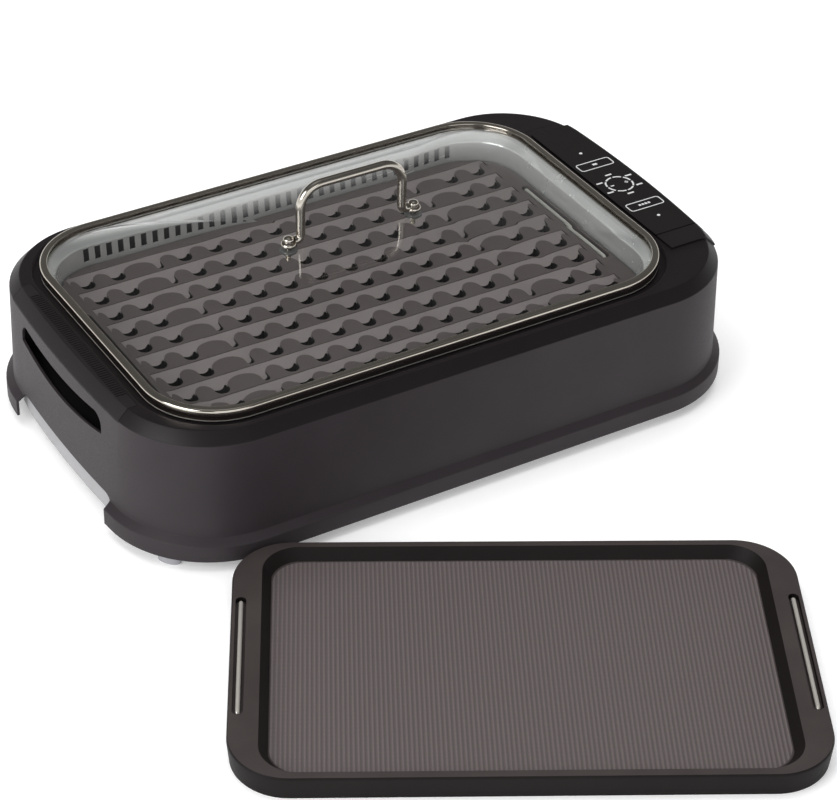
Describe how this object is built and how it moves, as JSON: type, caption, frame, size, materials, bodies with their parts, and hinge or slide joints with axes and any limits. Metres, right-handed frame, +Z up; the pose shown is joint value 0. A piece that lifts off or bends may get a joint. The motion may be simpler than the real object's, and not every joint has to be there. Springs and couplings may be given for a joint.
{
  "type": "electric indoor grill with lid",
  "caption": "Smokeless electric indoor grill: ridged lift-out grill plate over a slotted liner, drip tray and fan, with a domed glass lid and a loose flat griddle plate.",
  "frame": {"origin": "centre of the bottom of the box round the whole set, on the table", "axes": "+Z up; the grill's long side runs along X with its touch panel at +X; the grill's front and the loose griddle plate are towards -Y"},
  "size_m": [0.5666, 0.7135, 0.1945],
  "materials": {
    "housing": "satin",
    "grip": "matte",
    "panel": "polished",
    "indicator": "gloss",
    "circuit_board": "matte",
    "inner_plastic": "matte",
    "pan": "satin",
    "feet": "matte",
    "stainless": "polished",
    "liner": "brushed",
    "contacts": "satin",
    "element": "satin",
    "grill_coating": "satin non-stick coating on cast aluminium",
    "griddle_coating": "satin non-stick coating on cast aluminium",
    "glass": "clear",
    "silicone": "matte"
  },
  "bodies": {
    "base": {"outer_housing": "housing", "grip_insert": "grip", "panel_bezel": "grip", "touch_panel": "panel", "indicator_lens_1": "indicator", "indicator_lens_2": "indicator", "control_board": "circuit_board", "hand_pocket_left": "inner_plastic", "hand_pocket_right": "inner_plastic", "base_pan": "pan", "foot_1": "feet", "foot_2": "feet", "foot_3": "feet", "foot_4": "feet", "liner_post_1": "inner_plastic", "liner_post_2": "inner_plastic", "liner_post_3": "inner_plastic", "liner_post_4": "inner_plastic", "liner_screw_1": "stainless", "liner_screw_2": "stainless", "liner_screw_3": "stainless", "liner_screw_4": "stainless", "power_inlet": "inner_plastic", "inlet_pin_1": "contacts", "inlet_pin_2": "contacts", "inlet_pin_3": "contacts", "inner_liner": "liner", "element_socket": "inner_plastic", "fan_motor": "inner_plastic", "fan_shroud": "inner_plastic"},
    "fan": {"fan_shaft": "stainless", "fan_impeller": "inner_plastic"},
    "tray": {"drip_tray": "liner"},
    "element": {"heating_element": "element", "element_terminal": "inner_plastic", "element_bracket_1": "liner", "element_bracket_2": "liner"},
    "plate": {"grill_plate": "grill_coating"},
    "plate_bail_left": {"grill_bail_left": "stainless"},
    "plate_bail_right": {"grill_bail_right": "stainless"},
    "lid": {"lid_rim": "stainless", "lid_glass": "glass", "lid_handle": "stainless", "lid_stud_1": "stainless", "lid_stud_2": "stainless", "lid_seal_1": "silicone", "lid_seal_2": "silicone", "lid_nut_1": "stainless", "lid_nut_2": "stainless"},
    "griddle": {"griddle_plate": "griddle_coating"},
    "griddle_bail_a": {"griddle_bail_left": "stainless"},
    "griddle_bail_b": {"griddle_bail_right": "stainless"}
  },
  "joints": [
    {"name": "fan_spin", "type": "hinge", "parent": "base", "child": "fan", "pos_m": [0.00474, 0.19055, 0], "axis": [0, 0, 1], "continuous": true},
    {"name": "tray_lift", "type": "slide", "parent": "base", "child": "tray", "axis": [0, 0, 1], "range_m": [0, 0.12]},
    {"name": "element_lift", "type": "slide", "parent": "tray", "child": "element", "axis": [0, 0, 1], "range_m": [0, 0.12]},
    {"name": "plate_lift", "type": "slide", "parent": "element", "child": "plate", "axis": [0, 0, 1], "range_m": [0, 0.12]},
    {"name": "lid_lift", "type": "slide", "parent": "plate", "child": "lid", "axis": [0, 0, 1], "range_m": [0, 0.15]},
    {"name": "plate_bail_left_lift", "type": "slide", "parent": "plate", "child": "plate_bail_left", "axis": [0, 0, 1], "range_m": [0, 0.0075]},
    {"name": "plate_bail_right_lift", "type": "slide", "parent": "plate", "child": "plate_bail_right", "axis": [0, 0, 1], "range_m": [0, 0.0075]},
    {"name": "griddle_lift", "type": "slide", "parent": "base", "child": "griddle", "axis": [0, 0, 1], "range_m": [0, 0.12]},
    {"name": "griddle_bail_a_lift", "type": "slide", "parent": "griddle", "child": "griddle_bail_a", "axis": [0, 0, 1], "range_m": [0, 0.0075]},
    {"name": "griddle_bail_b_lift", "type": "slide", "parent": "griddle", "child": "griddle_bail_b", "axis": [0, 0, 1], "range_m": [0, 0.0075]}
  ]
}
